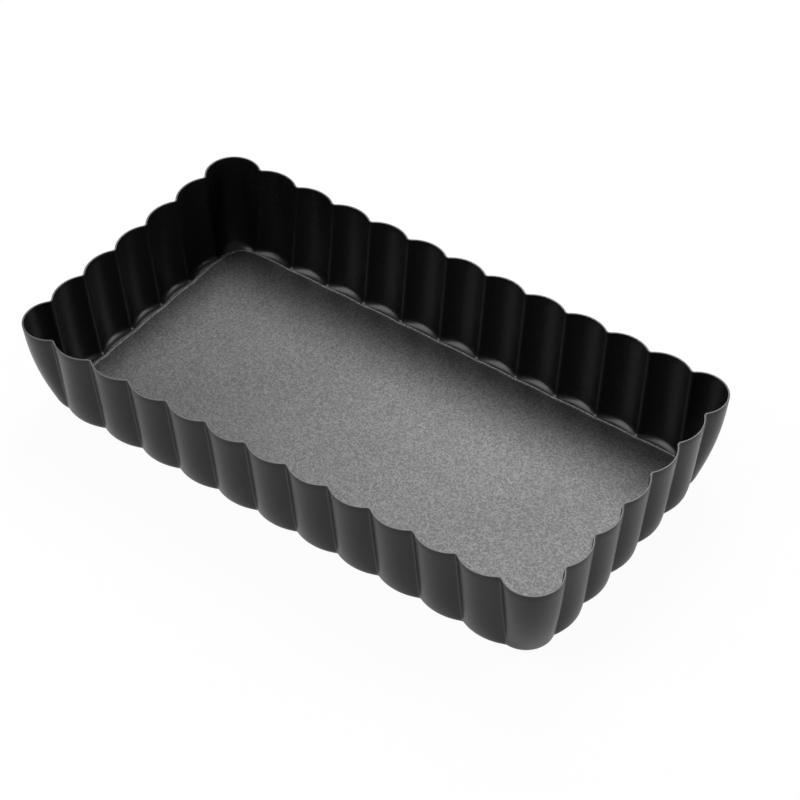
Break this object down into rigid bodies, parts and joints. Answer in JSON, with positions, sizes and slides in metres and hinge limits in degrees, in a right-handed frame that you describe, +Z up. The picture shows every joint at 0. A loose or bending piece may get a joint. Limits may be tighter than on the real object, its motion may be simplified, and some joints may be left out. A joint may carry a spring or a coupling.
{
  "type": "tart pan",
  "caption": "Rectangular fluted tart pan: a deep ring with scalloped walls and round corner ears, and a loose base plate that lifts straight out.",
  "frame": {"origin": "on the table, under the middle of the pan", "axes": "+X along the pan's length, +Z straight up out of its open top"},
  "size_m": [0.206, 0.113, 0.0351],
  "materials": {
    "wall_coating": "smooth satin black non-stick coating on thin steel sheet",
    "base_coating": "dark grey non-stick coating with a fine speckled grain, on thin steel sheet"
  },
  "bodies": {
    "ring": {"fluted_ring": "wall_coating"},
    "base": {"loose_base": "base_coating"}
  },
  "joints": [
    {"name": "base_lift", "type": "slide", "parent": "ring", "child": "base", "axis": [0, 0, 1], "range_m": [0, 0.045]}
  ]
}
